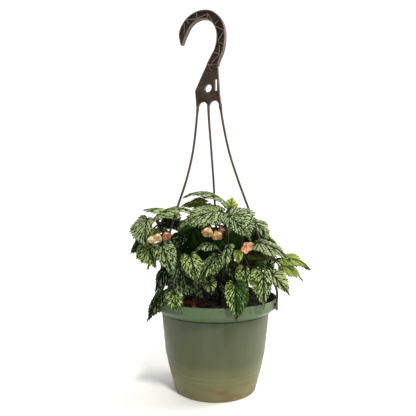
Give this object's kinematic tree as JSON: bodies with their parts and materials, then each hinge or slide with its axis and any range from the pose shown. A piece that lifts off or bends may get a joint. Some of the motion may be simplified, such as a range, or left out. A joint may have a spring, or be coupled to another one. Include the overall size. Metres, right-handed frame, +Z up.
{
  "type": "potted hanging plant",
  "caption": "Silver-leaved begonia with toothed, veined leaves and small blooms in a flared hanging pot, under a hook with a pierced plate and thin strands.",
  "frame": {"origin": "centre of the pot's base, on the surface it stands on", "axes": "+Z up through the pot to the hook, -Y to the front of the plant, +X to the right seen from the front"},
  "size_m": [0.2401, 0.1907, 0.5193],
  "materials": {
    "pot_plastic": "satin",
    "potting_soil": "matte",
    "hanger_plastic": "satin",
    "silver_leaf": "satin",
    "cream_petals": "matte",
    "coral_petals": "matte",
    "peach_petals": "matte",
    "pink_bud": "matte",
    "dried_petals": "matte"
  },
  "bodies": {
    "root": {"pot": "pot_plastic", "soil": "potting_soil", "hanger": "hanger_plastic", "cane_left": "silver_leaf", "cane_centre": "silver_leaf", "cane_right": "silver_leaf", "cane_upper_right": "silver_leaf", "cane_front_left": "silver_leaf", "cane_front": "silver_leaf", "cane_front_right": "silver_leaf", "cane_back": "silver_leaf", "cane_back_left": "silver_leaf", "cane_back_right": "silver_leaf", "bloom_left_1": "cream_petals", "bloom_left_2": "cream_petals", "bloom_left_3": "coral_petals", "bloom_centre_1": "peach_petals", "bloom_centre_2": "peach_petals", "bloom_centre_3": "pink_bud", "bloom_upper_right_1": "coral_petals", "fallen_bloom_1": "dried_petals", "fallen_bloom_2": "dried_petals", "fallen_bloom_3": "dried_petals"}
  },
  "joints": []
}
